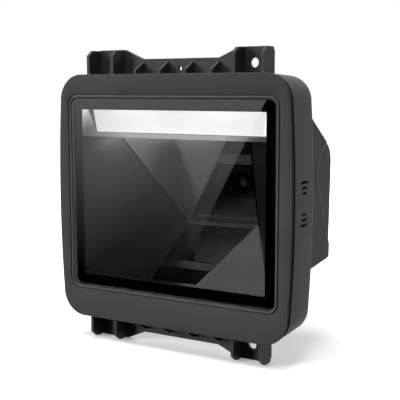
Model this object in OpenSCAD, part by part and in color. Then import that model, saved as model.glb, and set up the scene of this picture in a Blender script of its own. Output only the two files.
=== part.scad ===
// Fixed barcode reader with a lit window, a fold mirror and two panel mounting ears.
// Millimetres. Front faces -Y, +Z is up, +X is to the right seen from the front.
// The origin is the centre of the four ear holes, on the rear face of the ears.

/* [Body] */
// Width of the body at mid height
body_w = 128.6; // [116:0.5:150]
// Height of the body without the ears
body_h = 121; // [110:0.5:150]
// How far each side bows out between its corners
side_bow = 1.6; // [0.4:0.1:4]
// Corner radius of the body seen from the front
corner_r = 12.5; // [8:0.5:20]
// Depth from the bezel face to the flat back of the housing
body_d = 27; // [24:0.5:40]
// Wall of the rear housing
housing_wall = 2.4; // [1.6:0.1:3.5]
// How much each side draws in from the front rim to the back
housing_draft = 0.8; // [0.2:0.1:2]
// Rounding of the rear edge of the housing
housing_edge_r = 2.5; // [1:0.25:5]

/* [Bezel] */
// Thickness of the bezel rim that shows
bezel_rim = 1; // [0.8:0.1:3]
// Rounding of the front edge of the bezel
bezel_edge_r = 0.4; // [0.2:0.05:0.7]
// Width of the groove between bezel and housing
groove_w = 2.4; // [1:0.1:3]
// How deep the seal sits back in the groove
groove_deep = 0.9; // [0.3:0.1:1.6]
// Clearance between the bezel spigot and the housing wall
spigot_gap = 0.3; // [0.1:0.05:0.6]
// Thickness of the ledge behind the glass
ledge_t = 1.6; // [1:0.1:3]
// Width of the bezel face beside the glass
bezel_side = 8.3; // [6:0.1:12]
// Height of the bezel face above the glass
bezel_top = 11.55; // [10:0.05:14]
// Height of the bezel face below the glass
bezel_bottom = 16.05; // [14:0.05:20]

// Width of the bead round the glass
bead_w = 1.2; // [0.6:0.1:2]
// Width of the groove that sets the bead off from the bezel face
bead_groove_w = 0.5; // [0.3:0.05:1]
// Depth of that groove
bead_groove_deep = 0.6; // [0.2:0.05:1]

/* [Window] */
// Thickness of the glass
glass_t = 2.5; // [1.5:0.1:4]
// Corner radius of the glass
glass_r = 3.4; // [1.5:0.1:8]
// Polished bevel round the front of the glass
glass_bevel = 0.5; // [0.2:0.1:1]
// Clearance round the glass in its pocket
glass_gap = 0.3; // [0.1:0.05:0.8]
// Thickness of the black mask behind the glass
mask_t = 0.3; // [0.1:0.05:0.6]
// Width of the mask at the left and right
mask_side = 5.3; // [3:0.1:8]
// Width of the mask at the top and bottom
mask_end = 5.5; // [3:0.1:8]
// Corner radius of the clear view inside the mask
view_r = 0.6; // [0.2:0.1:3]

/* [Ears] */
// Distance between the ear holes across
hole_span_x = 78.5; // [70:0.5:90]
// Distance between the ear holes up and down
hole_span_z = 130.4; // [129:0.2:160]
// Diameter of the ear holes
hole_d = 4.5; // [3:0.1:6]
// Thickness of the ear plate
ear_t = 2; // [1.6:0.1:5]
// Depth of the rear face of the ears behind the bezel face
ear_seat = 14; // [12:0.5:20]
// Distance from a hole to the outer face of its tower
tower_out = 9.25; // [6:0.05:12]
// Distance from a hole to the inner face of its tower
tower_in = 6.75; // [5:0.05:10]
// Height of a tower above its hole
tower_rise = 7.2; // [5:0.1:10]
// Rounding of the upper corners of a tower
tower_r = 2.5; // [1:0.1:4]
// Height of the web between the towers above the body
web_rise = 7.3; // [6:0.1:12]
// Thickness of the upright ribs
rib_t = 1.6; // [1:0.1:3]
// Forward reach of the upright ribs from the ear plate
rib_reach = 8.6; // [5:0.1:9]
// Height of the bevel on a rib's front corner
rib_drop = 2.7; // [0.8:0.1:4]
// Depth of the bevel on a rib's front corner
rib_bevel = 3.4; // [1:0.1:4.5]
// Drop of a rib below the top of its tower
rib_shy = 0.3; // [0.1:0.1:1]
// Length of the slope between a tower and the web
shoulder_l = 10.5; // [6:0.5:14]
// Rounding of the foot of that slope
shoulder_r = 3; // [1:0.1:5]
// Pitch of the triangular gussets
gusset_pitch = 14; // [11:0.5:14.5]
// Forward reach of a gusset from the ear plate
gusset_reach = 7; // [3:0.1:8]
// Height of a gusset's front edge above the body
gusset_toe = 2; // [0.5:0.1:3]
// Thickness of a gusset
gusset_t = 1.4; // [1:0.1:2.5]
// Drop of a gusset's tip below the top of the web
gusset_drop = 1.6; // [0.8:0.1:3]
// Diameter of the small locating hole in the web
pilot_d = 2.2; // [1.5:0.1:3]
// Height of the locating hole above the body
pilot_rise = 2.6; // [1.6:0.1:5]

/* [Hump] */
// Distance of each side of the hump in from the side of the body
hump_in = 6.8; // [5:0.1:12]
// Depth from the bezel face to the back of the hump
hump_d = 61.5; // [61:0.5:75]
// Height at which the sloped top of the hump leaves the flat back
hump_top = 45.6; // [44:0.2:50]
// Height of the corner where the slope meets the back
hump_shoulder = 23.4; // [22:0.2:28]
// Height of the underside of the hump at the flat back
hump_foot = -32.8; // [-36:0.2:-32]
// Rise of the underside towards the rear
hump_foot_rise = 3.4; // [1:0.1:3.6]
// How far the back leans in at its foot
hump_lean = 2; // [0:0.1:3]
// Rounding of the upper rear corner
hump_r = 10; // [4:0.5:16]
// Depth of the shallow relief on each side of the hump
relief_t = 0.5; // [0.2:0.1:1]
// Length of the relief in front of the back of the hump
relief_l = 20.7; // [12:0.1:26]
// Rounding of the nose of the relief
relief_r = 12.8; // [6:0.1:18]
// Drop of that nose below the corner of the slope
relief_drop = 7; // [2:0.1:14]
// How far the relief spreads past the hump above and below
relief_spread = 6; // [2:0.1:10]
// Width of the camera bulge under the hump
bulge_w = 49; // [46:0.5:60]
// Depth from the bezel face to the back of the camera bulge
bulge_d = 53; // [52:0.5:58]
// Height of the underside of the camera bulge above the foot of the body
bulge_up = 2.7; // [2.3:0.1:3.5]
// Slope of the lower rear face of the camera bulge
bulge_shin = 8.5; // [4:0.1:10]
// Bevel along the lower rear edge of the camera bulge
bulge_bevel = 6; // [3:0.1:8]

/* [Sound slots] */
// Distance of the slot centre behind the bezel face
slot_y = 14.2; // [13:0.1:16]
// Height of the slot centre
slot_z = 2.6; // [-5:0.1:10]
// Radius of the first slot
slot_r = 4.9; // [3.5:0.1:6]
// Step from one slot radius to the next
slot_step = 2.45; // [1.8:0.05:2.6]
// Width of a slot
slot_w = 1.1; // [0.6:0.1:1.5]
// Half angle of a slot
slot_half_deg = 23; // [12:1:30]

/* [Optics] */
// Slope of the chamber floor in degrees
floor_tilt = 24.5; // [20:0.5:26]
// Clearance between the foot of the mirror and the back of the hump
mirror_gap = 0.3; // [0.1:0.05:2]
// Distance of the head of the mirror behind the light box
mirror_head_gap = 2.1; // [1.6:0.1:4]
// How far each side wall of the chamber draws in at the foot of the mirror
foot_draw = 29.8; // [28:0.1:32]
// How far each side wall of the chamber draws in at the head of the mirror
head_draw = 15.1; // [13:0.1:18]
// Thickness of the mirror
mirror_t = 2.5; // [1.5:0.1:3]
// How far the mirror laps onto the rim of the chamber
mirror_lap = 1.4; // [0.8:0.1:1.6]
// Reach of the chamber past the clear view at each side
chamber_past = 0.9; // [0.4:0.1:2]
// Drop of the chamber floor below the clear view
floor_below = 0.1; // [0:0.05:1]
// Wall of the chamber
chamber_wall = 1.6; // [1.2:0.1:2.5]
// Rim of the chamber flange on the back of the bezel
flange_rim = 1.6; // [1:0.1:2]
// Width of the floor insert at the front
insert_front_w = 25; // [20:0.2:28]
// Width of the floor left at each side of the insert at the mirror
insert_side = 1.6; // [0.8:0.1:4]
// Distance of the front edge of the camera opening behind the bezel face
opening_y = 21.9; // [18:0.1:26]
// Width of the rim left beside the camera opening
opening_rim = 0.6; // [0.4:0.1:1.2]
// Clearance round pieces that drop into the chamber
insert_gap = 0.15; // [0.05:0.05:0.3]
// Length of the label plate along the floor
label_l = 10.6; // [6:0.2:12]
// Distance of the label plate in front of the camera opening
label_off = 6.2; // [4:0.1:7]
// Thickness of the label plate
label_t = 0.3; // [0.2:0.05:0.6]

/* [Light] */
// Room between the end of the light box and the chamber wall
light_gap = 1.7; // [0.6:0.1:4]
// Height of the light box hidden above the clear view
light_hide = 2.45; // [1:0.05:3]
// Height of the lit strip
light_h = 12.2; // [8:0.1:12.4]
// Thickness of the diffuser
diffuser_t = 2; // [1:0.1:2.4]
// Depth of the light box
light_box_d = 7.2; // [6.6:0.1:7.4]
// Wall of the light box
light_wall = 0.8; // [0.6:0.1:1.2]
// Side margin between the lit strip and the end of its box
light_margin = 2.6; // [1.5:0.1:3]
// Distance of the diffuser behind the front of its box
diffuser_in = 1; // [0.5:0.1:1.5]
// Number of light emitters
emitter_count = 10; // [6:1:14]
// Width of a light emitter
emitter_w = 2.8; // [2:0.1:4]
// Height of a light emitter off its board
emitter_t = 0.7; // [0.4:0.1:1]

/* [Camera] */
// Distance of the lens seat in front of the back of the camera bulge
lens_in = 22; // [20:0.1:23]
// Height of the lens seat above the underside of the camera bulge
lens_up = 20.8; // [20:0.1:22]
// Lean of the camera axis towards the back in degrees
lens_lean = 12; // [8:0.5:16]
// Diameter of the lens barrel
barrel_d = 12; // [9:0.1:13]
// Clearance of the barrel in its holder
barrel_gap = 0.1; // [0.05:0.05:0.3]
// Width of the camera board
camera_board_w = 26; // [22:0.5:30]
// Length of the camera board
camera_board_l = 21; // [19:0.5:22]
// Width of the image sensor
sensor_w = 8; // [6:0.1:9]
// Length of the image sensor
sensor_l = 7; // [5:0.1:8]
// Thickness of the image sensor
sensor_t = 1.2; // [0.6:0.1:1.6]

/* [Electronics] */
// Thickness of the circuit boards
board_t = 1.6; // [0.8:0.1:2]
// Distance of the main board in front of the back wall
board_standoff = 3.5; // [2:0.1:5]
// Distance of the main board from the side wall of the hump
board_edge_gap = 3.1; // [1:0.1:6]
// Space between the main board and the interface board
board_spacing = 7.75; // [4:0.05:12]
// Height of the main board above the foot of the mirror
board_up = 14.3; // [12:0.1:18]
// Distance of the main board below the corner of the hump
board_down = 1.4; // [0.5:0.1:4]
// Distance of a board post from the edges of its board
board_post_in = 3.8; // [3:0.1:6]
// Diameter of a board post
board_post_d = 5; // [4:0.1:6]
// Width of the largest chip
chip_w = 14; // [8:0.5:16]
// Height of the chips off the board
chip_t = 1.6; // [0.8:0.1:2]
// Width of the interface jack
jack_w = 12.5; // [11:0.1:14]
// Height of the interface jack
jack_h = 11.5; // [10:0.1:13]
// Depth of the interface jack
jack_d = 11.9; // [10:0.1:12.5]
// Wall of the interface jack
jack_wall = 1.3; // [0.8:0.1:1.8]
// Height of the latch slot in the interface jack
latch_h = 1.4; // [0.8:0.1:2]
// Width of the latch slot in the interface jack
latch_w = 6; // [4:0.1:7]
// How far the jack reaches into its cut-out
jack_reach = 0.9; // [0.2:0.1:1.6]
// Height of the jack centre
jack_z = 3; // [0:0.1:5]
// Width of the interface board beside its jack
interface_rim = 5.5; // [4.6:0.1:7]
// Height of the interface board above its jack
interface_up = 8; // [7:0.1:10]
// Height of the interface board below its jack
interface_down = 3; // [1:0.1:5]
// Room between the interface board and the side wall of the hump
interface_gap = 1.85; // [1:0.05:3]
// Clearance of the jack in the housing cut-out
jack_gap = 0.3; // [0.2:0.05:0.6]
// Width of the sounder from front to back
sounder_w = 12; // [11:0.1:12.4]
// Height of the sounder
sounder_h = 23.4; // [22:0.1:26]
// Thickness of the sounder
sounder_t = 4; // [2.5:0.1:4.5]
// Thickness of the sounder seal
seal_t = 0.8; // [0.4:0.1:1.5]
// Rim of the sounder seal
seal_rim = 1; // [0.6:0.1:2]
// Thickness of the pad that the sounder seals against
sounder_pad = 0.6; // [0.3:0.1:1.2]

/* [Fixings] */
// Diameter of the screw bosses in the corners
boss_d = 6.4; // [5.6:0.1:7]
// Diameter of the screw holes in the bosses
boss_hole_d = 2.6; // [2:0.1:3.2]
// Diameter of the recess for a screw head in the back
screw_head_d = 4.8; // [4:0.1:5.2]
// Depth of the recess for a screw head
screw_head_deep = 5; // [3:0.5:9]
// Distance of a corner boss from the side of the body
boss_in_x = 10.3; // [10:0.1:12]
// Height of a corner boss above the upper edge of the glass
boss_over = 2.25; // [2:0.05:4]
// Clearance of a screw in its hole
screw_gap = 0.4; // [0.1:0.05:0.6]

/* [Hidden] */
$fn = 40;
cut = 1;
arc_steps = 10;
half_w = body_w / 2;
half_h = body_h / 2;
glass_w = body_w - 2 * bezel_side;
glass_h = body_h - bezel_top - bezel_bottom;
window_rise = (bezel_bottom - bezel_top) / 2;
view_w = glass_w - 2 * mask_side;
view_h = glass_h - 2 * mask_end;
view_top = window_rise + view_h / 2;
view_foot = window_rise - view_h / 2;
rim_shy = 0.2;
housing_front = bezel_rim + groove_w;
bezel_back = glass_t + mask_t + ledge_t;
spigot_in = housing_wall + spigot_gap;
back_inner = body_d - housing_wall;
boss_z = half_h - bezel_top + boss_over;
boss_split = ear_seat - ear_t;
hump_w = body_w - 2 * hump_in;
hump_inner = hump_d - hump_lean - housing_wall;
bulge_foot = bulge_up - half_h;
bulge_lap = 8;
chamber_front = bezel_back;
chamber_w = view_w + 2 * chamber_past;
mirror_foot_w = chamber_w - 2 * foot_draw;
mirror_head_w = chamber_w - 2 * head_draw;
light_y = chamber_front + chamber_wall;
light_l = chamber_w - 2 * (light_gap + light_wall + light_margin);
light_top = view_top + light_hide;
light_floor = light_top - light_h - 2 * (light_wall + insert_gap);
shelf_z = light_floor - chamber_wall;
floor_front_z = view_foot - floor_below;
floor_drop = chamber_wall / cos(floor_tilt);
mirror_foot_y = hump_inner - mirror_t - mirror_gap;
mirror_foot_z = floor_front_z + tan(floor_tilt) * (mirror_foot_y - chamber_front);
mirror_head_y = light_y + light_box_d + mirror_head_gap;
mirror_tilt = atan2(shelf_z - mirror_foot_z, mirror_foot_y - mirror_head_y);
mirror_gain = (mirror_head_w - mirror_foot_w) / 2 * sin(mirror_tilt) / (shelf_z - mirror_foot_z);
insert_back_w = mirror_foot_w - 2 * insert_side;
insert_flange = 2;
insert_flange_t = 1.2;
insert_back = 0.8;
hood_wall = 1.2;
hood_floor = 1.4;
hood_half = barrel_d / 2 + 3;
hood_back = 2;
lens_y = bulge_d - lens_in;
lens_z = bulge_foot + lens_up;
holder_h = 8.5;
holder_foot = 2.4;
holder_wall = 1.7;
holder_well = 11;
clip_l = 8;
clip_t = 0.8;
clip_lap = 5;
clip_foot = 3;
clip_gap = 0.3;
notch_lean = 8;
interface_w = jack_w + 2 * interface_rim;
interface_y = hump_inner - jack_d + jack_reach;
interface_post_d = 4.4;
jack_x = hump_w / 2 - housing_wall - interface_gap - interface_w / 2;
main_board_w = hump_w - 2 * housing_wall - interface_gap - interface_w - board_spacing - board_edge_gap;
main_board_x = hump_w / 2 - housing_wall - board_edge_gap - main_board_w / 2;
main_board_y = hump_inner - board_standoff - board_t;
main_board_foot = mirror_foot_z + board_up;
main_board_h = hump_shoulder - board_down - main_board_foot;
sounder_seat_x = half_w - housing_wall - housing_draft - sounder_pad;

// Outline helpers

// Rounded rectangle, anticlockwise from the middle of its right side
function rounded_rect(hw, hh, r) = [
    for (q = [0:3]) for (i = [0:arc_steps])
        let (a = q * 90 + 90 * i / arc_steps)
        [(q == 0 || q == 3 ? 1 : -1) * (hw - r) + r * cos(a), (q < 2 ? 1 : -1) * (hh - r) + r * sin(a)]
];

function glass_outline(grow) = rounded_rect(glass_w / 2 + grow, glass_h / 2 + grow, glass_r + grow);
function view_outline(grow) = rounded_rect(view_w / 2 + grow, view_h / 2 + grow, view_r + grow);

// Rounded rectangle whose sides are long arcs that meet the corner arcs smoothly
function bowed_outline(inset) =
    let (hw = half_w - inset, hh = half_h - inset, r = corner_r - inset, c = half_h - corner_r)
    let (big = (c * c + side_bow * side_bow) / (2 * side_bow))
    let (xc = hw - big + sqrt((big - r) * (big - r) - c * c), start = asin(c / (big - r)))
    let (turn = 90 - start)
    let (quarter = concat(
        [for (i = [0:arc_steps - 1])
            let (a = start * i / arc_steps)
            [hw - big + big * cos(a), big * sin(a)]],
        [for (i = [0:arc_steps])
            let (a = start + turn * i / arc_steps)
            [xc + r * cos(a), c + r * sin(a)]]))
    let (n = len(quarter))
    concat(
        quarter,
        [for (i = [n - 1:-1:0]) [-quarter[i][0], quarter[i][1]]],
        [for (i = [1:n - 1]) [-quarter[i][0], -quarter[i][1]]],
        [for (i = [n - 1:-1:1]) [quarter[i][0], -quarter[i][1]]]);

function at_depth(points, y, rise = 0) = [for (p = points) [p[0], y, p[1] + rise]];

function unit(v) = v / norm(v);

// Arc that rounds the corner at b between a and c
function fillet(a, b, c, r, n = 8) =
    let (u = unit(a - b), v = unit(c - b), open = acos(u * v))
    let (centre = b + unit(u + v) * r / sin(open / 2), s = b + u * r / tan(open / 2) - centre)
    let (e = b + v * r / tan(open / 2) - centre, a0 = atan2(s[1], s[0]), raw = atan2(e[1], e[0]) - a0)
    let (turn = raw > 180 ? raw - 360 : raw < -180 ? raw + 360 : raw)
    [for (i = [0:n]) centre + r * [cos(a0 + turn * i / n), sin(a0 + turn * i / n)]];

// Polygon with each corner rounded by its own radius
function rounded(points, radii) = [
    for (i = [0:len(points) - 1])
        let (n = len(points), p = points[i])
        each radii[i] > 0 ? fillet(points[(i + n - 1) % n], p, points[(i + 1) % n], radii[i]) : [p]
];

// Points on the tilted floor and on the tilted camera seat
function floor_point(x, y, z) = [
    x,
    mirror_foot_y + y * cos(floor_tilt) - z * sin(floor_tilt),
    mirror_foot_z + y * sin(floor_tilt) + z * cos(floor_tilt)
];
function camera_point(x, y, z) = [
    x,
    lens_y + y * cos(lens_lean) + z * sin(lens_lean),
    lens_z - y * sin(lens_lean) + z * cos(lens_lean)
];
function floor_ring(a, front, b, back, z) = [
    floor_point(-a, -front, z), floor_point(-b, -back, z),
    floor_point(b, -back, z), floor_point(a, -front, z)
];
function camera_ring(h, z) = [
    camera_point(-h, -h, z), camera_point(-h, h, z),
    camera_point(h, h, z), camera_point(h, -h, z)
];
function floor_length(y) = (mirror_foot_y - y) / cos(floor_tilt);
function mirror_y(z) = mirror_foot_y - (z - mirror_foot_z) / tan(mirror_tilt);
function mirror_rise(z) = (z - mirror_foot_z) / sin(mirror_tilt);

// Solid between matching rings of points, each ring anticlockwise seen from before the first
module loft(rings) {
    n = len(rings[0]);
    last = len(rings) - 1;
    polyhedron(
        points = [for (r = rings) each r],
        faces = concat(
            [[for (i = [n - 1:-1:0]) i]],
            [for (k = [0:last - 1]) for (i = [0:n - 1])
                let (j = (i + 1) % n)
                [k * n + i, k * n + j, (k + 1) * n + j]],
            [for (k = [0:last - 1]) for (i = [0:n - 1])
                let (j = (i + 1) % n)
                [k * n + i, (k + 1) * n + j, (k + 1) * n + i]],
            [[for (i = [0:n - 1]) last * n + i]]),
        convexity = 6);
}

// Flat outline in X and Z carried from one depth to another
module slab(points, y0, y1) {
    translate([0, y1, 0])
        rotate([90, 0, 0])
            linear_extrude(y1 - y0)
                polygon(points);
}

// Side profile in Y and Z carried across, centred on a given X
module across(points, x, w) {
    translate([x - w / 2, 0, 0])
        rotate([90, 0, 90])
            linear_extrude(w)
                polygon(points);
}

module placed() {
    translate([0, -ear_seat, 0])
        children();
}

module on_floor() {
    translate([0, mirror_foot_y, mirror_foot_z])
        rotate([floor_tilt, 0, 0])
            children();
}

module on_mirror() {
    translate([0, mirror_foot_y, mirror_foot_z])
        rotate([180 - mirror_tilt, 0, 0])
            children();
}

module on_camera() {
    translate([0, lens_y, lens_z])
        rotate([-lens_lean, 0, 0])
            children();
}

module at_corners() {
    for (sx = [-1, 1])
        for (sz = [-1, 1])
            translate([sx * (half_w - boss_in_x), 0, sz * boss_z])
                children();
}

// Round bar along Y from one depth to another
module post(d, y0, y1) {
    translate([0, y1, 0])
        rotate([90, 0, 0])
            cylinder(d = d, h = y1 - y0);
}

// Bezel and window

module bead_groove() {
    difference() {
        slab(glass_outline(glass_gap + bead_w + bead_groove_w), -cut, bead_groove_deep);
        slab(glass_outline(glass_gap + bead_w), -2 * cut, bead_groove_deep + cut);
    }
}

module front_bezel() {
    pocket = glass_t + mask_t;
    color("#3d3d3f")
        placed()
            difference() {
                union() {
                    loft([
                        at_depth(bowed_outline(bezel_edge_r), 0),
                        at_depth(bowed_outline(bezel_edge_r * (1 - sin(45))), bezel_edge_r * (1 - cos(45))),
                        at_depth(bowed_outline(0), bezel_edge_r),
                        at_depth(bowed_outline(0), bezel_rim)
                    ]);
                    slab(bowed_outline(spigot_in), bezel_rim / 2, bezel_back);
                    at_corners()
                        post(boss_d, bezel_back - cut, boss_split);
                }
                translate([0, 0, window_rise])
                    slab(glass_outline(glass_gap), -cut, pocket);
                translate([0, 0, window_rise])
                    bead_groove();
                translate([0, 0, window_rise])
                    slab(view_outline(chamber_past), pocket - cut, bezel_back + cut);
                at_corners()
                    post(boss_hole_d, bezel_back, ear_seat);
            }
}

module window_glass() {
    color("#c9d6d8", 0.4)
        placed()
            loft([
                at_depth(glass_outline(-glass_bevel), 0, window_rise),
                at_depth(glass_outline(0), glass_bevel, window_rise),
                at_depth(glass_outline(0), glass_t, window_rise)
            ]);
}

module window_mask() {
    color("#0a0a0a")
        placed()
            translate([0, 0, window_rise])
                difference() {
                    slab(glass_outline(0), glass_t, glass_t + mask_t);
                    slab(view_outline(0), glass_t - cut, glass_t + mask_t + cut);
                }
}

module body_gasket() {
    color("#101010")
        placed()
            difference() {
                slab(bowed_outline(groove_deep), bezel_rim, housing_front);
                slab(bowed_outline(housing_wall), bezel_rim - cut, housing_front + cut);
            }
}

// Rear housing

module ear() {
    tower_top = hole_span_z / 2 + tower_rise;
    rib_top = tower_top - rib_shy;
    web_top = half_h + web_rise;
    outer = hole_span_x / 2 + tower_out;
    inner = hole_span_x / 2 - tower_in;
    ledge = inner - rib_t / 2;
    root = half_h - housing_wall / 2 - housing_draft;
    plate_front = ear_seat - ear_t;
    plate_mid = ear_seat - ear_t / 2;
    rib_front = plate_front - rib_reach;
    gusset_front = plate_front - gusset_reach;
    difference() {
        slab(rounded([
                [outer, root], [outer, tower_top], [ledge, tower_top], [ledge - shoulder_l, web_top],
                [shoulder_l - ledge, web_top], [-ledge, tower_top], [-outer, tower_top], [-outer, root]
             ], [0, tower_r, tower_r, shoulder_r, shoulder_r, tower_r, tower_r, 0]), plate_front, ear_seat);
        for (s = [-1, 1])
            translate([s * hole_span_x / 2, 0, hole_span_z / 2])
                post(hole_d, plate_front - cut, ear_seat + cut);
        translate([0, 0, half_h + pilot_rise])
            post(pilot_d, plate_front - cut, ear_seat + cut);
    }
    for (x = [inner + rib_t / 2, outer - rib_t / 2])
        for (s = [-1, 1])
            across([
                [plate_mid, root], [plate_mid, rib_top], [rib_front + rib_bevel, rib_top],
                [rib_front, rib_top - rib_drop], [rib_front, root]
            ], s * x, rib_t);
    for (k = [-1.5:1:1.5])
        across([
            [plate_mid, root], [plate_mid, web_top - gusset_drop], [plate_front, web_top - gusset_drop],
            [gusset_front, half_h + gusset_toe], [gusset_front, root]
        ], k * gusset_pitch, gusset_t);
}

function hump_profile(inset, front) =
    let (slope = (hump_top - hump_shoulder) / (hump_d - body_d), rise = hump_foot_rise / (hump_d - body_d))
    let (drop = inset * sqrt(1 + slope * slope), lift = inset * sqrt(1 + rise * rise))
    let (back = hump_d - inset, foot_back = hump_d - hump_lean - inset)
    [
        [front, hump_top - drop + slope * (body_d - front)],
        [back, hump_top - drop - slope * (back - body_d)],
        [foot_back, hump_foot + lift + rise * (foot_back - body_d)],
        [front, hump_foot + lift - rise * (body_d - front)]
    ];

function bulge_profile(inset, front) =
    let (top = hump_foot + bulge_lap, shin = bulge_d - bulge_shin - inset, foot = bulge_foot + inset)
    [
        [front, top], [bulge_d - inset, top], [bulge_d - inset, hump_foot],
        [shin, foot + bulge_bevel], [shin - bulge_bevel, foot], [front, foot]
    ];

module sound_slots() {
    reach = slot_r + 3 * slot_step;
    spread = reach * tan(slot_half_deg);
    translate([sounder_seat_x - cut, slot_y, slot_z])
        rotate([90, 0, 90])
            linear_extrude(half_w - sounder_seat_x + 2 * cut)
                for (side = [0, 180])
                    for (k = [0:2])
                        intersection() {
                            difference() {
                                circle(r = slot_r + k * slot_step + slot_w / 2);
                                circle(r = slot_r + k * slot_step - slot_w / 2);
                            }
                            rotate(side)
                                polygon([[0, 0], [-spread, reach], [spread, reach]]);
                        }
}

module side_relief() {
    for (s = [-1, 1])
        across(rounded([
            [hump_d + relief_spread, hump_shoulder + 2.5 * relief_spread],
            [hump_d - relief_l, hump_shoulder - relief_drop],
            [hump_d + relief_spread, hump_foot - relief_spread]
        ], [0, relief_r, 0]), s * (hump_w / 2 + relief_t), 4 * relief_t);
}

module housing_body() {
    rear = [for (a = [0:22.5:90]) [housing_edge_r * (1 - cos(a)), housing_edge_r * (1 - sin(a))]];
    loft(concat(
        [at_depth(bowed_outline(rim_shy), housing_front)],
        [for (p = rear) at_depth(bowed_outline(rim_shy + housing_draft + p[0]), body_d - p[1])]));
    difference() {
        across(rounded(hump_profile(0, back_inner), [0, hump_r, 2, 0]), 0, hump_w);
        side_relief();
    }
    across(rounded(bulge_profile(0, back_inner), [0, 0, 3, bulge_bevel, 3, 0]), 0, bulge_w);
    ear();
    mirror([0, 0, 1])
        ear();
}

module housing_room() {
    loft([
        at_depth(bowed_outline(housing_wall), housing_front - cut),
        at_depth(bowed_outline(housing_wall + housing_draft), back_inner)
    ]);
    hump = hump_profile(housing_wall, back_inner - cut);
    bulge = bulge_profile(housing_wall, back_inner - cut);
    across(rounded(hump, [0, hump_r - housing_wall, 1, 0]), 0, hump_w - 2 * housing_wall);
    across(rounded(bulge, [0, 0, 2, bulge_bevel - housing_wall, 2, 0]), 0, bulge_w - 2 * housing_wall);
}

// Middle of the hump's rear wall at a given height
function hump_back(z) =
    hump_d - hump_lean * (hump_shoulder - z) / (hump_shoulder - hump_foot) - housing_wall / 2;

module board_posts() {
    for (x = [-1, 1])
        for (z = [main_board_foot + board_post_in, main_board_foot + main_board_h - board_post_in])
            translate([main_board_x + x * (main_board_w / 2 - board_post_in), 0, z])
                post(board_post_d, main_board_y + board_t, hump_back(z));
    interface_z = jack_z + jack_h / 2 + interface_up / 2;
    for (x = [-1, 1])
        translate([-jack_x + x * (jack_w + interface_rim) / 2, 0, interface_z])
            post(interface_post_d, interface_y, hump_back(interface_z));
}

// Room for the sloping chamber floor where it passes the foot of the hump
module floor_relief() {
    reach = (back_inner - cut - chamber_front) / (mirror_foot_y - chamber_front);
    half = chamber_w / 2 + flange_rim + spigot_gap - (chamber_w - mirror_foot_w) / 2 * reach;
    far = floor_length(back_inner - 2 * cut);
    on_floor()
        translate([-half, -far, -chamber_wall - spigot_gap])
            cube([2 * half, 3 * housing_wall, 4 * housing_wall]);
}

module rear_housing() {
    pad_t = half_w - sounder_seat_x - housing_wall / 2 - housing_draft;
    jack_cut = hump_d - hump_inner + hump_lean + cut;
    color("#3b3b3d")
        placed()
            difference() {
                union() {
                    difference() {
                        housing_body();
                        housing_room();
                    }
                    at_corners()
                        post(boss_d, boss_split, back_inner + housing_wall / 2);
                    board_posts();
                    translate([sounder_seat_x, slot_y - sounder_w / 2, slot_z - sounder_h / 2])
                        cube([pad_t, sounder_w, sounder_h]);
                }
                sound_slots();
                floor_relief();
                at_corners()
                    post(boss_hole_d + 2 * screw_gap, boss_split - cut, body_d + cut);
                at_corners()
                    post(screw_head_d, body_d - screw_head_deep, body_d + cut);
                translate([-jack_x, hump_inner - hump_lean, jack_z])
                    translate([-jack_w / 2 - jack_gap, 0, -jack_h / 2 - jack_gap])
                        cube([jack_w + 2 * jack_gap, jack_cut, jack_h + 2 * jack_gap]);
            }
}

// Optical chamber

function chamber_ring(out, level, reach) =
    let (low_back = [mirror_foot_w / 2 + out, mirror_foot_y, mirror_foot_z])
    let (step = out > 0 ? floor_drop / (tan(mirror_tilt) + tan(floor_tilt)) : 0)
    let (b0 = [low_back[0], low_back[1] + step, low_back[2] - step * tan(mirror_tilt)])
    let (f0 = [chamber_w / 2 + out, chamber_front, floor_front_z - (out > 0 ? floor_drop : 0)])
    let (top = shelf_z + (out > 0 ? chamber_wall : 0))
    let (b1 = [mirror_head_w / 2 + out, mirror_y(top), top], f1 = [chamber_w / 2 + out, chamber_front, top])
    let (f = f0 + (f1 - f0) * level, b = b0 + (b1 - b0) * level)
    let (near = f - (b - f) * reach, far = b + (b - f) * reach)
    [[-near[0], near[1], near[2]], [-far[0], far[1], far[2]], far, near];

module chamber_loft(out, reach) {
    loft([for (k = [0:8]) chamber_ring(out, k / 8, reach)]);
}

// Half width of the insert at a distance in front of the mirror
function insert_half(l) =
    (insert_back_w + (insert_front_w - insert_back_w) * l / floor_length(chamber_front)) / 2;

module insert_plan(grow, z0, z1, front, back) {
    wa = insert_half(front) + grow;
    wb = insert_half(back) + grow;
    translate([0, 0, z0])
        linear_extrude(z1 - z0)
            polygon([[-wa, -front], [wa, -front], [wb, -back], [-wb, -back]]);
}

module optical_chamber() {
    low = floor_front_z - floor_drop;
    high = light_top + insert_gap;
    half = chamber_w / 2 + flange_rim;
    front = floor_length(light_y);
    color("#1b1b1c")
        placed()
            difference() {
                union() {
                    chamber_loft(flange_rim, 0);
                    slab([[-half, low], [half, low], [half, high + flange_rim], [-half, high + flange_rim]],
                         chamber_front, chamber_front + chamber_wall);
                    for (s = [-1, 1])
                        translate([s > 0 ? half - flange_rim : -half, chamber_front, light_floor - cut])
                            cube([flange_rim, light_box_d + chamber_wall, high - light_floor + cut]);
                }
                chamber_loft(0, 0.03);
                slab([[-chamber_w / 2, light_floor], [chamber_w / 2, light_floor],
                      [chamber_w / 2, high], [-chamber_w / 2, high]], chamber_front - cut, mirror_foot_y);
                on_floor()
                    insert_plan(insert_gap, -chamber_wall - cut, cut, front, insert_back / 2);
            }
}

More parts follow.
